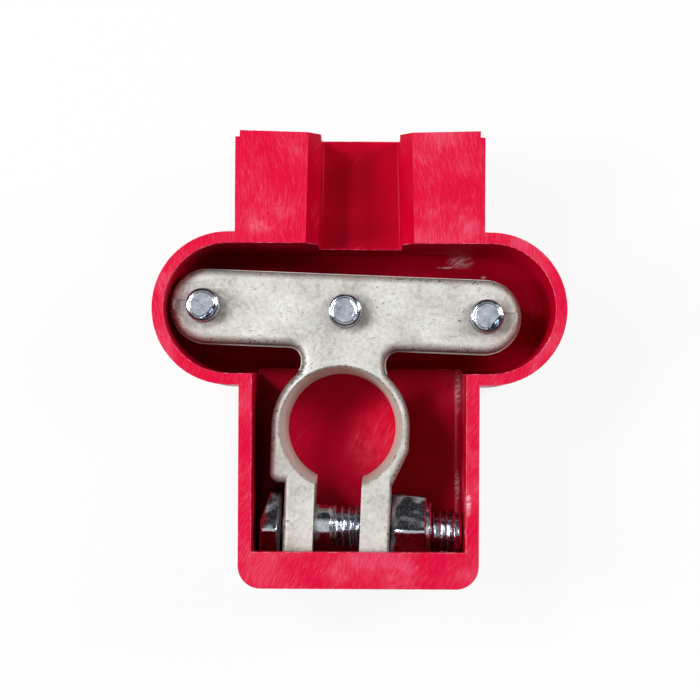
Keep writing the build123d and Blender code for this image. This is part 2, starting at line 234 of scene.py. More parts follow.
# ---- the moulded cover -------------------------------------------------------------------------
# places rubbed pale on the rims and the T cavity's upper wall, and places of painted light: the two at z 1
# paint the lit floor seen through the bore, those at x 18.3 to 18.5 the highlight streak down the pocket's
# right wall; x, y, z, radius in millimetres, strength
RUBS_AND_PAINTED_LIGHT = (
    (-15.2, 25.3, 28, 3.4, 1.0), (-18.0, 28.0, 28, 2.6, 0.5), (13.0, 31.0, 28, 4.4, 0.35),
    (19.0, 24.5, 28, 2.2, 0.5), (-2.0, -38.0, 28, 4.5, 0.3), (7.5, -38.2, 28, 3.6, 0.45),
    (-34.2, 10.0, 28, 3.6, 0.2), (-33.0, 4.0, 28, 2.6, 0.2), (2.0, -15.5, 1, 5.6, 1.3),
    (4.4, -10.6, 1, 4.0, 0.9), (13.4, 19.2, 10, 3.0, 1.5), (18.3, -5.0, 12, 5.0, 1.4),
    (18.3, -21.5, 13, 4.0, 1.4), (18.5, -25.5, 22, 2.4, 1.2),
)
RUB_AND_LIGHT_SHIFT = 2.5                 # millimetres, the mean shift of the wandering pattern in X and Y

# scrapes and a fleck on the cavity floor, then painted highlight streaks down the pocket's right wall and
# on its top by the bolt's end: x, y, z, half length in X, half width in Y in millimetres, strength
SCRAPES_AND_HIGHLIGHTS = (
    (18.4, 18.9, 3.0, 2.9, 1.5, 0.75), (15.6, 17.9, 3.0, 1.9, 0.22, 1.5),
    (22.8, 16.1, 3.0, 0.6, 0.35, 1.3), (17.9, -5.2, 8.0, 0.75, 4.8, 0.7),
    (17.9, -22.6, 8.0, 0.6, 3.6, 0.7), (19.0, -24.9, 28.0, 0.7, 2.7, 0.7),
)
SCRAPE_AND_STREAK_DEPTH = 0.12             # one over the half height of each scrape and painted streak in millimetres
SKIN_WELD = 0.001 * MM          # joins the faces into one skin, so that the edges can be bevelled
TRIMMED_EDGE = 0.07 * MM        # width of the pale edge line: whitening, and painted highlight
SHARP_EDGE = math.radians(62)   # edges that bend more than this were trimmed

# the way of the sanding strokes in degrees, and a shift that keeps the three patterns apart
BLOCK_STROKES = (98.0, 0.0)
END_WALL_STROKES = (63.0, 40.0)
SIDE_STROKES = (74.0, 80.0)


def rubbed_and_lit_places(tree, place):
    """Mask of the places where the moulding has been rubbed pale, and of the places painted pale as light:
    the lit floor in the bore and the highlight streak down the pocket's right wall.
    """
    masks = []
    for x, y, z, radius, strength in RUBS_AND_PAINTED_LIGHT:
        away = add_node(tree, "ShaderNodeVectorMath",
                        {"operation": "DISTANCE", 1: (x + RUB_AND_LIGHT_SHIFT, y + RUB_AND_LIGHT_SHIFT, z)}, {0: place})
        near = add_node(tree, "ShaderNodeMapRange",
                        {"From Min": 1.5 * radius, "From Max": 0.2 * radius, "To Max": strength},
                        {"Value": away.outputs["Value"]})
        masks.append(near.outputs[0])
    return strongest(tree, masks)


def scraped_and_highlit_places(tree, mm):
    """Mask of the ragged pale scrapes on the cavity floor, and of the painted highlight streaks on the
    pocket's right wall and its top.
    """
    masks = []
    for x, y, z, long, wide, strength in SCRAPES_AND_HIGHLIGHTS:
        local = add_node(tree, "ShaderNodeVectorMath",
                         {"operation": "MULTIPLY_ADD", 1: (1 / long, 1 / wide, SCRAPE_AND_STREAK_DEPTH),
                          2: (-x / long, -y / wide, -z * SCRAPE_AND_STREAK_DEPTH)}, {0: mm})
        away = add_node(tree, "ShaderNodeVectorMath", {"operation": "LENGTH"}, {0: local.outputs[0]})
        near = add_node(tree, "ShaderNodeMapRange", {"From Min": 1.0, "From Max": 0.3, "To Max": strength},
                        {"Value": away.outputs["Value"]})
        masks.append(near.outputs[0])
    # torn into scratches about 0.2 mm wide and 1.4 mm long
    scratches = streaks(tree, mm, 26.0, (0.7, 5.5, 0.2), 3.0, 0.5)
    torn = add_node(tree, "ShaderNodeMapRange", {"From Min": 0.42, "From Max": 0.60}, {"Value": scratches})
    scraped = add_node(tree, "ShaderNodeMath", {"operation": "MULTIPLY"},
                       {0: strongest(tree, masks), 1: torn.outputs[0]})
    return scraped.outputs[0]


def sanding(tree, mm, bent, along):
    """Height of the sanding strokes: steep on the blocks, slanted on the end wall and the sides."""
    # drawn about 0.15 mm wide and 2 mm long, coarser than the real ones, which would not show
    stroke_per_mm = (0.6, 8.0, 0.3)
    blocks, end_wall, sides = [streaks(tree, bent, turn, stroke_per_mm, 3.0, 0.6, shift)
                               for turn, shift in (BLOCK_STROKES, END_WALL_STROKES, SIDE_STROKES)]
    on_blocks = add_node(tree, "ShaderNodeMapRange", {"From Min": -1.0, "From Max": 3.0}, {"Value": along})
    patch = add_node(tree, "ShaderNodeTexNoise", {"Scale": 0.09, "Detail": 2.0}, {"Vector": mm})
    either = add_node(tree, "ShaderNodeMapRange", {"From Min": 0.47, "From Max": 0.53},
                      {"Value": patch.outputs["Fac"]})
    slanted = add_node(tree, "ShaderNodeMix", {"data_type": "FLOAT"},
                       {0: either.outputs[0], 2: end_wall, 3: sides})
    stroke = add_node(tree, "ShaderNodeMix", {"data_type": "FLOAT"},
                      {0: on_blocks.outputs[0], 2: slanted.outputs[0], 3: blocks})
    return stroke.outputs[0]


def soft_pvc_moulded(finish):
    """Soft PVC, injection moulded, its rims trimmed and sanded by hand.

    The eye gets a deep satin red on the moulded faces, with faint flow clouds, rubbed places, a painted
    lit patch on the floor through the bore and painted highlights down the pocket's right wall, and
    a lighter, matt, stroked red on the rims.
    """
    material, tree, shader, mm = new_material("soft_pvc_moulded")
    where = add_node(tree, "ShaderNodeTexCoord")
    facing = add_node(tree, "ShaderNodeSeparateXYZ", links={0: where.outputs["Normal"]})
    place = add_node(tree, "ShaderNodeSeparateXYZ", links={0: mm})
    flat = add_node(tree, "ShaderNodeMath", {"operation": "GREATER_THAN", 1: 0.9}, {0: facing.outputs["Z"]})
    high = add_node(tree, "ShaderNodeMath", {"operation": "GREATER_THAN", 1: RIM_HEIGHT / MM - 0.1},
                    {0: place.outputs["Z"]})
    rim = add_node(tree, "ShaderNodeMath", {"operation": "MULTIPLY"},
                   {0: flat.outputs[0], 1: high.outputs[0]})

    # a slow wander, cells about 17 mm, bends the strokes by up to 5 mm and the swirls by up to 14 mm
    wander = add_node(tree, "ShaderNodeTexNoise", {"Scale": 0.06, "Detail": 1.0}, {"Vector": mm})
    bent = add_node(tree, "ShaderNodeVectorMath", {"operation": "MULTIPLY_ADD", 1: (5, 5, 0)},
                    {0: wander.outputs["Color"], 2: mm})
    swirl = add_node(tree, "ShaderNodeVectorMath", {"operation": "MULTIPLY_ADD", 1: (14, 14, 0)},
                     {0: wander.outputs["Color"], 2: mm})

    # wear: haze in 9 mm clouds, and rubbed places with ragged 2 mm edges; some of these places are painted
    # light, on the floor through the bore and down the pocket's right wall
    haze = add_node(tree, "ShaderNodeTexNoise", {"Scale": 0.11, "Detail": 3.0, "Roughness": 0.45},
                    {"Vector": bent.outputs[0]})
    ragged = add_node(tree, "ShaderNodeTexNoise", {"Scale": 0.45, "Detail": 4.0, "Roughness": 0.6},
                      {"Vector": bent.outputs[0]})
    tattered = add_node(tree, "ShaderNodeMapRange",
                        {"From Min": 0.36, "From Max": 0.62, "To Min": 0.08, "To Max": 0.42},
                        {"Value": ragged.outputs["Fac"]})
    rub_and_light = add_node(tree, "ShaderNodeMath", {"operation": "MULTIPLY"},
                   {0: rubbed_and_lit_places(tree, bent.outputs[0]), 1: tattered.outputs[0]})
    cloudy = add_node(tree, "ShaderNodeMath", {"operation": "ADD"},
                      {0: rub_and_light.outputs[0], 1: haze.outputs["Fac"]})

    # rims: hazy red under pale strokes, which show most where the wear is
    stroke = sanding(tree, mm, bent.outputs[0], place.outputs["Y"])
    hazy = add_node(tree, "ShaderNodeValToRGB", links={"Fac": cloudy.outputs[0]},
                    stops=((0.40, finish.rim_red), (0.56, "#E2123F"), (0.72, "#E83A5B"), (0.95, "#EE6880")))
    line = add_node(tree, "ShaderNodeMapRange", {"From Min": 0.50, "From Max": 0.72}, {"Value": stroke})
    worn = add_node(tree, "ShaderNodeMapRange",
                    {"From Min": 0.40, "From Max": 0.85, "To Min": 0.14, "To Max": 0.55},
                    {"Value": cloudy.outputs[0]})
    line_share = add_node(tree, "ShaderNodeMath", {"operation": "MULTIPLY"},
                          {0: line.outputs[0], 1: worn.outputs[0]})
    sanded = add_node(tree, "ShaderNodeMix", {"data_type": "RGBA", 7: linear("#F68CA0")},
                      {0: line_share.outputs[0], 6: hazy.outputs["Color"]})

    # moulded faces: flow clouds about 8 mm across, and swirls of scratches 0.3 mm wide on worn floors and
    # on the painted-lit floor in the bore
    cloud = add_node(tree, "ShaderNodeTexNoise", {"Scale": 0.12, "Detail": 3.0}, {"Vector": mm})
    moulded = add_node(tree, "ShaderNodeValToRGB", links={"Fac": cloud.outputs["Fac"]},
                       stops=((0.3, "#C40028"), (0.6, finish.cover_red), (0.8, "#DC0033")))
    scratches = streaks(tree, swirl.outputs[0], 42.0, (0.22, 3.0, 0.2), 3.0, 0.6)
    mark = add_node(tree, "ShaderNodeMapRange", {"From Min": 0.56, "From Max": 0.7}, {"Value": scratches})
    rubbed_and_lit = add_node(tree, "ShaderNodeMapRange", {"From Min": 0.56, "From Max": 0.85, "To Max": 0.7},
                      {"Value": cloudy.outputs[0]})
    mark_share = add_node(tree, "ShaderNodeMath", {"operation": "MULTIPLY"},
                          {0: mark.outputs[0], 1: rubbed_and_lit.outputs[0]})
    # pale red over the rubbed places: wear on the rims and the T cavity's upper wall, painted light on the
    # floor through the bore, and painted highlight down the pocket's right wall
    paler = add_node(tree, "ShaderNodeMath", {"operation": "MULTIPLY", 1: 1.6}, {0: rub_and_light.outputs[0]})
    worn_and_lit_skin = add_node(tree, "ShaderNodeMix", {"data_type": "RGBA", 7: linear("#FC4668")},
                         {0: paler.outputs[0], 6: moulded.outputs["Color"]})
    scuffed = add_node(tree, "ShaderNodeMix", {"data_type": "RGBA", 7: linear("#F07088")},
                       {0: mark_share.outputs[0], 6: worn_and_lit_skin.outputs[2]})
    whole = add_node(tree, "ShaderNodeMix", {"data_type": "RGBA"},
                     {0: rim.outputs[0], 6: scuffed.outputs[2], 7: sanded.outputs[2]})
    # near-white over the scrapes, and painted highlight streaks on the pocket's right wall and its top
    colour = add_node(tree, "ShaderNodeMix", {"data_type": "RGBA", 7: linear("#FFDCE2")},
                      {0: scraped_and_highlit_places(tree, mm), 6: whole.outputs[2]})
    tree.links.new(colour.outputs[2], shader.inputs["Base Color"])

    rough_wall = add_node(tree, "ShaderNodeMapRange", {"To Min": 0.24, "To Max": 0.40},
                          {"Value": cloud.outputs["Fac"]})
    rough_rim = add_node(tree, "ShaderNodeMapRange", {"To Min": 0.5, "To Max": 0.7}, {"Value": stroke})
    rough = add_node(tree, "ShaderNodeMix", {"data_type": "FLOAT"},
                     {0: rim.outputs[0], 2: rough_wall.outputs[0], 3: rough_rim.outputs[0]})
    tree.links.new(rough.outputs[0], shader.inputs["Roughness"])
    rise = add_node(tree, "ShaderNodeMath", {"operation": "MULTIPLY"}, {0: stroke, 1: rim.outputs[0]})
    relief = add_node(tree, "ShaderNodeMath", {"operation": "MULTIPLY_ADD", 1: 0.25},
                      {0: mark_share.outputs[0], 2: rise.outputs[0]})
    bump = add_node(tree, "ShaderNodeBump", {"Strength": 1.0, "Distance": 0.03 * MM},
                    {"Height": relief.outputs[0]})
    tree.links.new(bump.outputs[0], shader.inputs["Normal"])
    shader.inputs["IOR"].default_value = 1.53
    shader.inputs["Specular IOR Level"].default_value = 0.07
    return material


def soft_pvc_trimmed():
    """Soft PVC, trimmed along the edge: a thin pale line that comes and goes, whitened by the trimming and
    painted as a highlight on the edge.
    """
    material, tree, shader, mm = new_material("soft_pvc_trimmed")
    bite = add_node(tree, "ShaderNodeTexNoise", {"Scale": 0.9, "Detail": 3.0}, {"Vector": mm})
    pale = add_node(tree, "ShaderNodeValToRGB", links={"Fac": bite.outputs["Fac"]},
                    stops=((0.38, "#DC0A38"), (0.5, "#E83058"), (0.62, "#F596A8")))
    tree.links.new(pale.outputs["Color"], shader.inputs["Base Color"])
    rough = add_node(tree, "ShaderNodeMapRange", {"To Min": 0.35, "To Max": 0.6},
                     {"Value": bite.outputs["Fac"]})
    tree.links.new(rough.outputs[0], shader.inputs["Roughness"])
    shader.inputs["IOR"].default_value = 1.53
    return material


# ---- the metals and the floor ------------------------------------------------------------------
BORE_REACH = 11.0               # millimetres from the bore's axis; what is nearer is bore wall
FORGED_SKIN = (34.0, 0.28)      # swell and dullest roughness of the bolt and the nut
TURNED_SKIN = (0.0, 0.24)       # and of the screws and washers
KNOCK_WAYS = ((15.0, 5.0), (75.0, 25.0), (128.0, 45.0))     # degrees, and a shift that keeps them apart
GRIME_AND_SHADOW_OFFSET = (0.5, -0.4, 23.2)                            # millimetres from a screw's axis toward the lower right, where the screws' shadows fall, and height


def knocked_places(tree, mm):
    """Mask of the knocks from tumbling: short scratches, about 0.3 mm wide and 2 mm long."""
    masks = []
    for turn, shift in KNOCK_WAYS:
        scratches = streaks(tree, mm, turn, (0.5, 3.6, 0.5), 2.0, 0.5, shift)
        line = add_node(tree, "ShaderNodeMapRange", {"From Min": 0.66, "From Max": 0.74, "To Max": 0.6},
                        {"Value": scratches})
        masks.append(line.outputs[0])
    return strongest(tree, masks)


def grime_and_shadow_places(tree, mm):
    """Mask of the rings round the terminal screws: grime, and painted shadow set toward the lower right."""
    masks = []
    for name in SIDES:
        x, y, _ = JOINTS[f"screw_{name}_turn"]["pos_m"]
        middle = (x / MM + GRIME_AND_SHADOW_OFFSET[0], y / MM + GRIME_AND_SHADOW_OFFSET[1], GRIME_AND_SHADOW_OFFSET[2])
        away = add_node(tree, "ShaderNodeVectorMath", {"operation": "DISTANCE", 1: middle}, {0: mm})
        near = add_node(tree, "ShaderNodeMapRange", {"From Min": 5.2, "From Max": 3.0},
                        {"Value": away.outputs["Value"]})
        masks.append(near.outputs[0])
    return strongest(tree, masks)


def zinc_alloy_cast(finish):
    """Zinc alloy, die cast and tumbled.

    The eye gets a matt pale grey skin with faint 6 mm clouds, dark specks that gather on the rounded
    edges, short knocks, grime with painted shadow round the screws, and painted shade on the flanks.
    """
    material, tree, shader, mm = new_material("zinc_alloy_cast")
    where = add_node(tree, "ShaderNodeTexCoord")
    facing = add_node(tree, "ShaderNodeSeparateXYZ", links={0: where.outputs["Normal"]})
    broad = add_node(tree, "ShaderNodeTexNoise", {"Scale": 0.16, "Detail": 3.0, "Roughness": 0.5},
                     {"Vector": mm})
    fine = add_node(tree, "ShaderNodeTexNoise", {"Scale": 1.3, "Detail": 6.0, "Roughness": 0.72},
                    {"Vector": mm})
    blend = add_node(tree, "ShaderNodeMix", {"data_type": "FLOAT", 0: 0.5},
                     {2: broad.outputs["Fac"], 3: fine.outputs["Fac"]})
    skin = add_node(tree, "ShaderNodeValToRGB", links={"Fac": blend.outputs[0]},
                    stops=((0.36, "#ACA89F"), (0.45, "#C4C1B9"),
                           (0.54, finish.casting_grey), (0.66, "#E4E1DB")))

    # dark specks 0.1 to 0.3 mm across, thick on the rounded edges and thin on the flat face
    speck = add_node(tree, "ShaderNodeTexNoise", {"Scale": 2.6, "Detail": 4.0, "Roughness": 0.65},
                     {"Vector": mm})
    edge = add_node(tree, "ShaderNodeMapRange",
                    {"From Min": 0.985, "From Max": 0.75, "To Min": 0.0, "To Max": 0.11},
                    {"Value": facing.outputs["Z"]})
    patchy = add_node(tree, "ShaderNodeMapRange",
                      {"From Min": 0.42, "From Max": 0.66, "To Min": -0.035, "To Max": 0.045},
                      {"Value": broad.outputs["Fac"]})
    extra = add_node(tree, "ShaderNodeMath", {"operation": "ADD"},
                     {0: edge.outputs[0], 1: patchy.outputs[0]})
    level = add_node(tree, "ShaderNodeMath", {"operation": "ADD"},
                     {0: speck.outputs["Fac"], 1: extra.outputs[0]})
    pit = add_node(tree, "ShaderNodeMapRange", {"From Min": 0.645, "From Max": 0.70},
                   {"Value": level.outputs[0]})
    pitted = add_node(tree, "ShaderNodeMix", {"data_type": "RGBA", 7: linear("#5C5850")},
                      {0: pit.outputs[0], 6: skin.outputs["Color"]})

    knocks = knocked_places(tree, mm)
    knocked = add_node(tree, "ShaderNodeMix", {"data_type": "RGBA", 7: linear("#8B877E")},
                       {0: knocks, 6: pitted.outputs[2]})

    # grime round each screw, with painted shadow: each ring sits toward the lower right, where the screw's
    # shadow falls
    broken = add_node(tree, "ShaderNodeMapRange",
                      {"From Min": 0.36, "From Max": 0.62, "To Min": 0.8, "To Max": 0.25},
                      {"Value": blend.outputs[0]})
    grime_and_shadow = add_node(tree, "ShaderNodeMath", {"operation": "MULTIPLY"},
                     {0: grime_and_shadow_places(tree, mm), 1: broken.outputs[0]})
    grimed_and_shaded = add_node(tree, "ShaderNodeMix", {"data_type": "RGBA", 7: linear("#8C8478")},
                      {0: grime_and_shadow.outputs[0], 6: knocked.outputs[2]})

    # painted shade: the outer flanks grow darker the more they face sideways; the bore wall is a plain
    # paler grey
    side_shade = add_node(tree, "ShaderNodeMapRange",
                    {"From Min": 0.97, "From Max": 0.35, "To Min": 0.0, "To Max": 0.6},
                    {"Value": facing.outputs["Z"]})
    bore_x, bore_y, _ = MOUNTS["post_bore"]["pos_m"]
    from_axis = add_node(tree, "ShaderNodeVectorMath",
                         {"operation": "MULTIPLY_ADD", 1: (1, 1, 0), 2: (-bore_x / MM, -bore_y / MM, 0)},
                         {0: mm})
    reach = add_node(tree, "ShaderNodeVectorMath", {"operation": "LENGTH"}, {0: from_axis.outputs[0]})
    outside = add_node(tree, "ShaderNodeMath", {"operation": "GREATER_THAN", 1: BORE_REACH},
                       {0: reach.outputs["Value"]})
    side_shade_outside = add_node(tree, "ShaderNodeMath", {"operation": "MULTIPLY"},
                            {0: side_shade.outputs[0], 1: outside.outputs[0]})
    side_shaded = add_node(tree, "ShaderNodeMix", {"data_type": "RGBA", 7: linear("#7D746A")},
                     {0: side_shade_outside.outputs[0], 6: grimed_and_shaded.outputs[2]})
    wall = add_node(tree, "ShaderNodeMath", {"operation": "LESS_THAN", 1: 0.5}, {0: facing.outputs["Z"]})
    inside = add_node(tree, "ShaderNodeMath", {"operation": "GREATER_THAN"},
                      {0: wall.outputs[0], 1: outside.outputs[0]})
    colour = add_node(tree, "ShaderNodeMix", {"data_type": "RGBA", 7: linear("#E4DFD6")},
                      {0: inside.outputs[0], 6: side_shaded.outputs[2]})
    tree.links.new(colour.outputs[2], shader.inputs["Base Color"])

    shader.inputs["Metallic"].default_value = 0.5
    rough = add_node(tree, "ShaderNodeMapRange", {"To Min": 0.66, "To Max": 0.46},
                     {"Value": blend.outputs[0]})
    tree.links.new(rough.outputs[0], shader.inputs["Roughness"])
    lumps = add_node(tree, "ShaderNodeMath", {"operation": "MULTIPLY_ADD", 1: 0.6},
                     {0: fine.outputs["Fac"], 2: broad.outputs["Fac"]})
    relief = add_node(tree, "ShaderNodeMath", {"operation": "MULTIPLY_ADD", 1: -0.5},
                      {0: pit.outputs[0], 2: lumps.outputs[0]})
    scored = add_node(tree, "ShaderNodeMath", {"operation": "MULTIPLY_ADD", 1: -0.3},
                      {0: knocks, 2: relief.outputs[0]})
    bump = add_node(tree, "ShaderNodeBump", {"Strength": 1.0, "Distance": 0.1 * MM},
                    {"Height": scored.outputs[0]})
    tree.links.new(bump.outputs[0], shader.inputs["Normal"])
    return material


def steel_zinc_plated(name, finish, swell, dullest):
    """Steel, cold forged and bright zinc plated.

    The eye gets a bluish mirror broken by 0.3 mm frost and 1.4 mm blotches of crystal; swell is how
    strongly the forged skin rolls in 2.4 mm waves under them, and dullest the roughness of the frost.
    """
    material, tree, shader, mm = new_material(name)
    frost = add_node(tree, "ShaderNodeTexNoise", {"Scale": 3.0, "Detail": 5.0, "Roughness": 0.7},
                     {"Vector": mm})
    blotch = add_node(tree, "ShaderNodeTexNoise", {"Scale": 0.7, "Detail": 3.0}, {"Vector": mm})
    roll = add_node(tree, "ShaderNodeTexNoise", {"Scale": 0.42, "Detail": 0.0}, {"Vector": mm})
    both = add_node(tree, "ShaderNodeMix", {"data_type": "FLOAT", 0: 0.5},
                    {2: frost.outputs["Fac"], 3: blotch.outputs["Fac"]})
    tint = add_node(tree, "ShaderNodeValToRGB", links={"Fac": both.outputs[0]},
                    stops=((0.36, "#9AA1B0"), (0.47, "#BBC1CD"), (0.56, finish.plating), (0.66, "#E2E5EA")))
    tree.links.new(tint.outputs["Color"], shader.inputs["Base Color"])
    rough = add_node(tree, "ShaderNodeMapRange",
                     {"From Min": 0.35, "From Max": 0.65, "To Min": 0.08, "To Max": dullest},
                     {"Value": frost.outputs["Fac"]})
    tree.links.new(rough.outputs[0], shader.inputs["Roughness"])
    crystal = add_node(tree, "ShaderNodeMath", {"operation": "MULTIPLY_ADD", 1: 4.5},
                       {0: blotch.outputs["Fac"], 2: frost.outputs["Fac"]})
    waves = add_node(tree, "ShaderNodeMath", {"operation": "MULTIPLY_ADD", 1: swell},
                     {0: roll.outputs["Fac"], 2: crystal.outputs[0]})
    bump = add_node(tree, "ShaderNodeBump", {"Strength": 1.0, "Distance": 0.011 * MM},
                    {"Height": waves.outputs[0]})
    tree.links.new(bump.outputs[0], shader.inputs["Normal"])
    shader.inputs["Metallic"].default_value = 1.0
    return material


def paper_white(glow_share):
    """Matt white paper, mostly shown as plain white: a clean floor that still holds a soft shadow."""
    material = bpy.data.materials.new("paper_white")
    material.use_nodes = True
    tree = material.node_tree
    tree.nodes.clear()
    ray = add_node(tree, "ShaderNodeLightPath")
    either = add_node(tree, "ShaderNodeMath", {"operation": "MAXIMUM"},
                      {0: ray.outputs["Is Camera Ray"], 1: ray.outputs["Is Glossy Ray"]})
    shown = add_node(tree, "ShaderNodeMath", {"operation": "MAXIMUM"},
                     {0: either.outputs[0], 1: ray.outputs["Is Transmission Ray"]})
    share = add_node(tree, "ShaderNodeMath", {"operation": "MULTIPLY", 1: glow_share},
                     {0: shown.outputs[0]})
    matt = add_node(tree, "ShaderNodeBsdfDiffuse", {"Color": (0.86, 0.86, 0.86, 1.0)})
    glow = add_node(tree, "ShaderNodeEmission", {"Color": (1, 1, 1, 1), "Strength": 1.0})
    mixed = add_node(tree, "ShaderNodeMixShader",
                     links={0: share.outputs[0], 1: matt.outputs[0], 2: glow.outputs[0]})
    add_node(tree, "ShaderNodeOutputMaterial", links={"Surface": mixed.outputs[0]})
    return material


def studio_world():
    """A dark studio: polished faces see a bright floor and ceiling, and the camera sees plain white."""
    world = bpy.data.worlds.new("studio")
    world.use_nodes = True
    tree = world.node_tree
    tree.nodes.clear()
    where = add_node(tree, "ShaderNodeTexCoord")
    split = add_node(tree, "ShaderNodeSeparateXYZ", links={0: where.outputs["Generated"]})
    sky = add_node(tree, "ShaderNodeValToRGB", links={"Fac": split.outputs["Z"]},
                   stops=((0.0, 0.7), (0.26, 0.5), (0.40, 0.02), (0.74, 0.03), (0.91, 0.72)))
    ray = add_node(tree, "ShaderNodeLightPath")
    fill = add_node(tree, "ShaderNodeMix", {"data_type": "RGBA", 6: (0.015, 0.015, 0.015, 1.0)},
                    {0: ray.outputs["Is Glossy Ray"], 7: sky.outputs["Color"]})
    clear = add_node(tree, "ShaderNodeMath", {"operation": "MAXIMUM"},
                     {0: ray.outputs["Is Camera Ray"], 1: ray.outputs["Is Transmission Ray"]})
    shade = add_node(tree, "ShaderNodeMix", {"data_type": "RGBA", 7: (1.0, 1.0, 1.0, 1.0)},
                     {0: clear.outputs[0], 6: fill.outputs[2]})
    back = add_node(tree, "ShaderNodeBackground", {"Strength": 1.0}, {"Color": shade.outputs[2]})
    add_node(tree, "ShaderNodeOutputWorld", links={"Surface": back.outputs[0]})
    return world


# ---- fastener meshes ----------------------------------------------------------------------------
# one turn of a rolled thread: share of the pitch, and share of the thread's depth
THREAD_TURN = (0.0, 0.06, 0.13, 0.28, 0.42, 0.50, 0.58, 0.72, 0.87, 0.94)
THREAD_DROP = (0.0, 0.04, 0.17, 0.60, 0.93, 1.00, 0.93, 0.60, 0.17, 0.04)
THREAD_DEPTH = 0.6134           # share of the pitch, for a metric thread
RUN_OUT_TURNS = 1.2             # over which the thread fades in
TIP_SLOPE = 0.9                 # of the chamfer on a thread's end
SAME_POINT = 0.0002 * MM
CREASE = math.radians(38)       # edges that bend more than this stay sharp

# one sixth of a hexagon in degrees, close together at the corner
SIXTH_TURN = (0.0, 0.95, 1.9, 2.85, 3.8, 7.0, 14.0, 22.0, 30.0, 38.0, 46.0, 53.0, 56.2, 57.15, 58.1, 59.05)
HEXAGON_CHAMFER = math.pi / 6   # slope of a hexagon's turned face
FACE_SHARE = 0.95               # turned face of a hexagon, as a share of its flats

CROWN_SLANT_START = 0.9 * MM    # from the bolt's axis
CROWN_BEVEL = 0.35 * MM         # on the corners of the bolt's crown
HEAD_TURN = 6.0                 # degrees
HEAD_ROUNDING = 0.8 * MM        # of the head's long corners
HEAD_EDGE = 1.0 * MM            # rounded edge beside the lug, on the flats
HEAD_CORNER_EDGE = 1.25 * MM    # and on the corners
HEAD_FACE_SHARE = 0.86          # bearing face, as a share of the flats
BOLT_TIP = 0.9 * MM             # chamfer on the bolt's end
NECK_FILLET = 0.3 * MM          # under a head

NUT_ROUNDING = 0.95 * MM        # of the nut's long corners
NUT_EDGE = 0.4 * MM             # rounding of the hexagon's and the collar's outer edges
NUT_FALL = 0.2 * MM             # how far the flats fall away at their ends
NUT_CLEARANCE = 0.05 * MM

SCREW_ROUNDING = 0.3 * MM       # of the screw heads' long corners
TIP_LENGTH = 0.9 * MM           # of a screw, past its thread
SCREW_TIP = 0.25 * MM           # chamfer where the thread ends
NICK_START = 1.5 * MM           # from the screw's axis
NICK_END = 2.37 * MM
NICKS = (("left", -44.0, 1.5), ("middle", 27.0, 0.5), ("right", -42.0, 1.5))    # degrees, slope

# the raised rim and the dished middle of a screw's tip: drop and radius in millimetres
TIP = ((0.62, 2.93), (0.42, 2.90), (0.27, 2.83), (0.19, 2.74), (0.11, 2.56), (0.05, 2.40), (0.04, 2.34),
       (0.12, 2.28), (0.14, 2.22), (0.06, 2.15), (0.03, 2.06), (0.03, 1.98), (0.03, 1.90), (0.03, 1.82),
       (0.03, 1.74), (0.04, 1.66), (0.06, 1.58), (0.07, 1.50), (0.08, 1.40), (0.08, 1.1), (0.08, 0.8),
       (0.08, 0.4), (0.08, 0.0))


def hexagon_angles(corner_turn):
    """Angles about a hexagon's axis, close together at its corners."""
    return [math.radians(corner_turn + 60 * sixth + turn) for sixth in range(6) for turn in SIXTH_TURN]


def hexagon_radius(angle, corner_turn, flats, round_over):
    """Axis to the side of a hexagon whose long corners are rounded over."""
    sixth = math.pi / 3
    past = (angle - math.radians(corner_turn) + sixth / 2) % sixth - sixth / 2
    centre = (flats / 2 - round_over) / math.cos(sixth / 2)
    arc_end = math.atan2(round_over * math.sin(sixth / 2), centre + round_over * math.cos(sixth / 2))
    if abs(past) < arc_end:
        return centre * math.cos(past) + math.sqrt(round_over ** 2 - (centre * math.sin(past)) ** 2)
    return flats / 2 / math.cos(sixth / 2 - abs(past))


def thread_rows(angle, diameter, pitch, start, end, tip):
    """Rows of a right-hand thread at one angle; each row stays at one depth all along the helix."""
    per_turn = len(THREAD_TURN)
    rows = []
    for row in range(-per_turn, int((end - start) / pitch + 1) * per_turn + 1):
        turn, step = divmod(row, per_turn)
        along = start + (turn + THREAD_TURN[step] + angle / math.tau) * pitch
        run_out = min(max((along - start) / (RUN_OUT_TURNS * pitch), 0.0), 1.0)
        radius = diameter / 2 - THREAD_DEPTH * pitch * THREAD_DROP[step] * run_out
        along = min(max(along, start), end)
        rows.append((along, min(radius, diameter / 2 - tip + (end - along) * TIP_SLOPE)))
    return rows


def rounded_edge(along, radius, edge, turns):
    """Points round an outer edge that ends at this length and radius."""
    leans = [math.radians(turn) for turn in turns]
    return [(along - edge + edge * math.sin(lean), radius - edge + edge * math.cos(lean)) for lean in leans]


def join_columns(work, one, other, closed):
    """Fills the strip between two neighbouring columns of points."""
    for row in range(len(one) if closed else len(one) - 1):
        step = (row + 1) % len(one)
        corners = list(dict.fromkeys((one[row], one[step], other[step], other[row])))
        if len(corners) > 2:
            work.faces.new(corners)


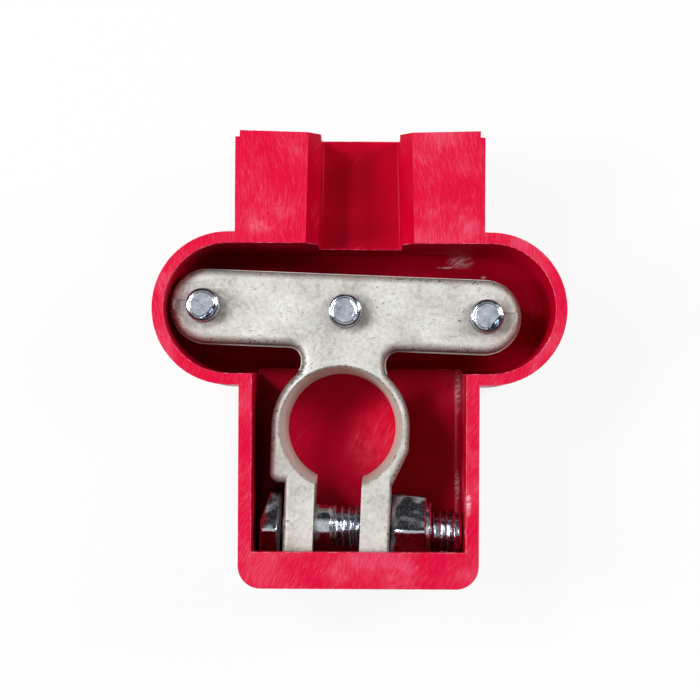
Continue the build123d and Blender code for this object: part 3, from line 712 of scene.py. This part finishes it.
def turned_piece(name, origin, axis, up, angles, before, threads, after, closed=False):
    """A closed piece about an axis, from (along, radius) points before, on and after its thread."""
    across = axis.cross(up).normalized()
    work = bmesh.new()
    columns = []
    for index, angle in enumerate(angles):
        out = up * math.cos(angle) + across * math.sin(angle)
        places = [[origin + axis * along + out * radius for along, radius in rows[index]]
                  for rows in (before, threads, after)]
        columns.append([[work.verts.new(place) for place in section] for section in places])
    for left, right in zip(columns, columns[1:]):
        join_columns(work, sum(left, []), sum(right, []), closed)
    # past the last angle the helix has climbed one turn
    last_head, last_thread, last_end = columns[-1]
    head, thread, end = columns[0]
    climbed = [thread[min(row + len(THREAD_TURN), len(thread) - 1)] for row in range(len(thread))]
    join_columns(work, last_head + last_thread + last_end, head + climbed + end, closed)

    bmesh.ops.remove_doubles(work, verts=work.verts, dist=SAME_POINT)
    bmesh.ops.recalc_face_normals(work, faces=work.faces)
    mesh = bpy.data.meshes.new(name)
    work.to_mesh(mesh)
    work.free()
    mesh.shade_smooth()
    mesh.set_sharp_from_angle(angle=CREASE)
    piece = bpy.data.objects.new(name, mesh)
    bpy.context.scene.collection.objects.link(piece)
    return piece


# ---- operators ----------------------------------------------------------------------------------
class CLAMP_OT_cover(bpy.types.Operator):
    """Gives the moulded cover its soft red finish"""

    bl_idname = "clamp.cover"
    bl_label = "Finish the Cover"

    def execute(self, context):
        cover = frame["nodes"]["cover"]
        dress(cover, soft_pvc_moulded(context.scene.clamp_finish))
        cover.data.materials.append(soft_pvc_trimmed())
        cover.modifiers.new("one_skin", "WELD").merge_threshold = SKIN_WELD
        # the bevel takes the pale edge material: whitening from trimming, with a painted highlight
        edge = cover.modifiers.new("trimmed_edge", "BEVEL")
        edge.width = TRIMMED_EDGE
        edge.segments = 2
        edge.limit_method = "ANGLE"
        edge.angle_limit = SHARP_EDGE
        edge.use_clamp_overlap = False
        edge.material = 1
        return {"FINISHED"}


class CLAMP_OT_casting(bpy.types.Operator):
    """Gives the clamp casting its tumbled grey finish"""

    bl_idname = "clamp.casting"
    bl_label = "Finish the Casting"

    def execute(self, context):
        dress(frame["nodes"]["clamp_body"], zinc_alloy_cast(context.scene.clamp_finish))
        return {"FINISHED"}


class CLAMP_OT_pinch_bolt(bpy.types.Operator):
    """Makes the M8 pinch bolt: slanted crown, frosted plain shank and rolled thread"""

    bl_idname = "clamp.pinch_bolt"
    bl_label = "Make the Pinch Bolt"

    def execute(self, context):
        sizes = context.scene.clamp_fasteners
        angles = hexagon_angles(HEAD_TURN)
        tip_radius = sizes.bolt_thread / 2 - BOLT_TIP
        tip = [(sizes.bolt_length, tip_radius * share) for share in (0.9, 0.5, 0.0)]
        before = [self.head(sizes, angle) + self.shank(sizes) for angle in angles]
        threads = [thread_rows(angle, sizes.bolt_thread, sizes.bolt_pitch, sizes.bolt_plain,
                               sizes.bolt_length, BOLT_TIP) for angle in angles]
        after = [tip] * len(angles)
        bolt = turned_piece("pinch_bolt", BOLT_FOOT, BOLT_LINE, UP, angles, before, threads, after)
        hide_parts("clamp_bolt")
        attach(bolt, "clamp_bolt")
        dress(bolt, steel_zinc_plated("steel_zinc_frosted", context.scene.clamp_finish, *FORGED_SKIN))
        return {"FINISHED"}

    def crown(self, sizes, radius, angle):
        """Height of the crown: it slants away on the side of the ring and is bevelled at its corners."""
        side = 1 if BOLT_LINE.cross(UP).y > 0 else -1
        corner = sizes.bolt_flats / 2 / math.cos(math.pi / 6)
        past = max(0.0, radius * math.sin(angle) * side - CROWN_SLANT_START)
        slanted = sizes.bolt_head - past * math.tan(sizes.crown_slant)
        return min(slanted, sizes.bolt_head - max(0.0, radius - corner + CROWN_BEVEL))

    def head(self, sizes, angle):
        """Points at one angle from the middle of the crown, down the side and under the head."""
        side = hexagon_radius(angle, HEAD_TURN, sizes.bolt_flats, HEAD_ROUNDING)
        corner = sizes.bolt_flats / 2 / math.cos(math.pi / 6)
        top = self.crown(sizes, side, angle)
        bevel = max(HEAD_EDGE, side - corner + HEAD_CORNER_EDGE)
        face = min(side, HEAD_FACE_SHARE * sizes.bolt_flats / 2)
        crown_edge = ((0.0, 0.16 * MM), (0.05 * MM, 0.05 * MM), (0.16 * MM, 0.0))
        straight = top - crown_edge[-1][0] - bevel
        leans = [math.radians(lean) for lean in (8, 16, 26, 38, 52, 70, 90)]
        points = [(-self.crown(sizes, side * step / 16, angle), side * step / 16) for step in range(16)]
        points += [(-top + drop, side - inset) for drop, inset in crown_edge]
        points += [(-bevel - straight * (1 - step / 5), side) for step in range(1, 6)]
        points += [(-bevel * (1 - math.sin(lean)), face + (side - face) * math.cos(lean)) for lean in leans]
        return points

    def shank(self, sizes):
        """Points along the plain shank, from the fillet under the head."""
        radius = sizes.bolt_thread / 2
        fillet = [(0.0, radius + NECK_FILLET), (NECK_FILLET, radius)]
        return fillet + [(sizes.bolt_plain * step / 6, radius) for step in range(1, 6)]


class CLAMP_OT_pinch_nut(bpy.types.Operator):
    """Makes the M8 nut: hexagon with rounded corners, its turned lug face and its collar"""

    bl_idname = "clamp.pinch_nut"
    bl_label = "Make the Pinch Nut"

    def execute(self, context):
        sizes = context.scene.clamp_fasteners
        angles = hexagon_angles(0.0)
        start = BOLT_FOOT + BOLT_LINE * sizes.nut_start
        outline = [self.outline(sizes, angle) for angle in angles]
        none = [[]] * len(angles)
        nut = turned_piece("pinch_nut", start, BOLT_LINE, UP, angles, outline, none, none, closed=True)
        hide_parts("clamp_nut")
        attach(nut, "clamp_nut")
        dress(nut, bpy.data.materials["steel_zinc_frosted"])
        return {"FINISHED"}

    def outline(self, sizes, angle):
        """Points at one angle from the bore, out over the lug face, along the side and back in."""
        side = hexagon_radius(angle, 0.0, sizes.nut_flats, NUT_ROUNDING)
        bore = sizes.bolt_thread / 2 + NUT_CLEARANCE
        face = FACE_SHARE * sizes.nut_flats / 2
        chamfer = (side - face) * math.tan(HEXAGON_CHAMFER)
        straight = sizes.nut_hexagon - NUT_EDGE - chamfer
        full_length = sizes.nut_hexagon + sizes.nut_collar_length
        points = [(0.0, bore), (0.0, (bore + face) / 2), (0.0, face)]
        points += [(chamfer * step / 4, face + (side - face - NUT_FALL) * step / 4) for step in range(1, 4)]
        points += [(chamfer + straight * step / 8, side - NUT_FALL * abs(step / 4 - 1) ** 3)
                   for step in range(9)]
        points += rounded_edge(sizes.nut_hexagon, side - NUT_FALL, NUT_EDGE, (15, 30, 60, 90))
        points += [(sizes.nut_hexagon, sizes.nut_collar / 2)]
        points += rounded_edge(full_length, sizes.nut_collar / 2, NUT_EDGE, (0, 30, 60, 90))
        points += [(full_length, bore), (sizes.nut_hexagon + sizes.nut_collar_length / 2, bore)]
        return points


class CLAMP_OT_terminal_screws(bpy.types.Operator):
    """Makes the three M6 terminal screws and plates their washers"""

    bl_idname = "clamp.terminal_screws"
    bl_label = "Make the Terminal Screws"

    def execute(self, context):
        sizes = context.scene.clamp_fasteners
        plated = steel_zinc_plated("steel_zinc_plated", context.scene.clamp_finish, *TURNED_SKIN)
        angles = hexagon_angles(0.0)
        before = [self.head(sizes, angle) for angle in angles]
        for name, turn, slope in NICKS:
            low = Vector(JOINTS[f"screw_{name}_turn"]["pos_m"])
            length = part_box(f"bar_screw_{name}")[1][2] - low.z - sizes.screw_head
            threads = [thread_rows(angle, sizes.screw_thread, sizes.screw_pitch, sizes.screw_pitch,
                                   length - TIP_LENGTH, SCREW_TIP) for angle in angles]
            tip = [(length - drop * MM, radius * MM) for drop, radius in TIP]
            after = [[(along - self.nick(radius, angle, turn, slope), radius) for along, radius in tip]
                     for angle in angles]
            shoulder = low + UP * sizes.screw_head
            screw = turned_piece(f"terminal_screw_{name}", shoulder, UP, BOLT_LINE, angles,
                                 before, threads, after)
            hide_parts(f"bar_screw_{name}")
            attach(screw, f"screw_{name}")
            dress(screw, plated)
            for washer in ("flat_washer", "spring_washer"):
                dress(frame["nodes"][f"{washer}_{name}"], plated)
        return {"FINISHED"}

    def head(self, sizes, angle):
        """Points at one angle from the middle of the turned face, up the side and in to the shank."""
        side = hexagon_radius(angle, 0.0, sizes.screw_flats, SCREW_ROUNDING)
        face = FACE_SHARE * sizes.screw_flats / 2
        points = [(-sizes.screw_head, face * step / 6) for step in range(7)]
        points += [(-sizes.screw_head + (side - face) * math.tan(HEXAGON_CHAMFER), side)]
        points += [(-sizes.screw_head * (1 - step / 4), side) for step in range(2, 5)]
        return points + [(0.0, sizes.screw_thread / 2 + NECK_FILLET), (0.2 * MM, sizes.screw_thread / 2)]

    def nick(self, radius, angle, turn, slope):
        """Depth of the sloping nick where the thread was started across the tip."""
        reach = radius * math.cos(angle - math.radians(turn)) - NICK_START
        return max(0.0, reach) * slope if radius < NICK_END else 0.0


# name, place in metres, width and height in metres, and the setting that holds its power
LAMPS = (
    ("left_box", (-0.53, 0.0, 0.48), (0.20, 0.26), "key_power"),
    ("high_left_box", (-0.33, 0.20, 0.60), (0.13, 0.13), "high_power"),
    ("right_box", (0.42, 0.15, 0.56), (0.14, 0.14), "fill_power"),
    ("low_right_box", (0.55, 0.22, 0.39), (0.22, 0.22), "rear_power"),
)
LAMP_COLOUR = (0.95, 0.98, 1.0)
LAMP_TARGET = Vector((0, 0, 0.01))
FLOOR_HALF = 2.0                # metres
FLOOR_DROP = 0.05 * MM          # below the cover's back
SENSOR_WIDTH = 36.0             # millimetres
VIEW_WIDTH_PX = 700
VIEW_SHIFT_PX = (-30, 65)


class CLAMP_OT_stage(bpy.types.Operator):
    """Sets the floor, the lamps, the world and the camera looking straight down"""

    bl_idname = "clamp.stage"
    bl_label = "Set the Stage"

    def execute(self, context):
        scene = context.scene
        self.lay_floor(scene)
        for name, place, size, power in LAMPS:
            self.hang_lamp(scene, name, place, size, getattr(scene.clamp_stage, power))
        scene.world = studio_world()
        scene.camera = self.set_camera(scene, scene.clamp_stage)
        scene.view_settings.view_transform = "Standard"
        return {"FINISHED"}

    def lay_floor(self, scene):
        """A plain white floor just under the cover."""
        half = FLOOR_HALF
        square = ((-half, -half), (half, -half), (half, half), (-half, half))
        corners = [(x, y, -FLOOR_DROP) for x, y in square]
        mesh = bpy.data.meshes.new("floor")
        mesh.from_pydata(corners, [], [(0, 1, 2, 3)])
        floor = bpy.data.objects.new("floor", mesh)
        scene.collection.objects.link(floor)
        floor.data.materials.append(paper_white(0.9))

    def hang_lamp(self, scene, name, place, size, power):
        """A soft box that looks at the cover."""
        lamp = bpy.data.lights.new(name, "AREA")
        lamp.shape = "RECTANGLE"
        lamp.size, lamp.size_y = size
        lamp.energy = power
        lamp.color = LAMP_COLOUR
        holder = bpy.data.objects.new(name, lamp)
        holder.location = place
        holder.rotation_euler = (LAMP_TARGET - Vector(place)).to_track_quat("-Z", "Y").to_euler()
        scene.collection.objects.link(holder)

    def set_camera(self, scene, stage):
        """A camera looking straight down, its picture shifted to frame the cover."""
        lens = bpy.data.cameras.new("camera")
        lens.lens = stage.focal_length
        lens.sensor_width = SENSOR_WIDTH
        lens.shift_x = VIEW_SHIFT_PX[0] / VIEW_WIDTH_PX
        lens.shift_y = VIEW_SHIFT_PX[1] / VIEW_WIDTH_PX
        lens.clip_start = 0.01
        camera = bpy.data.objects.new("camera", lens)
        camera.location = (stage.camera_across, stage.camera_along, RIM_HEIGHT + stage.camera_height)
        camera.rotation_euler = (0, 0, stage.camera_roll)
        scene.collection.objects.link(camera)
        return camera


class CLAMP_PT_panel(bpy.types.Panel):
    """Lists what the add-on makes"""

    bl_label = "Terminal Clamp"
    bl_idname = "CLAMP_PT_panel"
    bl_space_type = "VIEW_3D"
    bl_region_type = "UI"
    bl_category = "Clamp"

    def draw(self, context):
        for group in (context.scene.clamp_finish, context.scene.clamp_fasteners, context.scene.clamp_stage):
            box = self.layout.box()
            for name in group.bl_rna.properties.keys():
                if name not in ("rna_type", "name"):
                    box.prop(group, name)
        for operator in OPERATORS:
            self.layout.operator(operator.bl_idname)


GROUPS = {"clamp_finish": FinishSettings, "clamp_fasteners": FastenerSettings, "clamp_stage": StageSettings}
OPERATORS = (CLAMP_OT_cover, CLAMP_OT_casting, CLAMP_OT_pinch_bolt, CLAMP_OT_pinch_nut,
             CLAMP_OT_terminal_screws, CLAMP_OT_stage)


def register():
    """Registers the classes and hangs their settings on the scene."""
    for name, group in GROUPS.items():
        bpy.utils.register_class(group)
        setattr(bpy.types.Scene, name, bpy.props.PointerProperty(type=group))
    for item in OPERATORS + (CLAMP_PT_panel,):
        bpy.utils.register_class(item)


def unregister():
    """Takes away what register added."""
    for item in reversed(OPERATORS + (CLAMP_PT_panel,)):
        bpy.utils.unregister_class(item)
    for name, group in GROUPS.items():
        delattr(bpy.types.Scene, name)
        bpy.utils.unregister_class(group)


def main():
    """Makes everything in order."""
    register()
    bpy.ops.clamp.cover()
    bpy.ops.clamp.casting()
    bpy.ops.clamp.pinch_bolt()
    bpy.ops.clamp.pinch_nut()
    bpy.ops.clamp.terminal_screws()
    bpy.ops.clamp.stage()


if __name__ == "__main__":
    main()
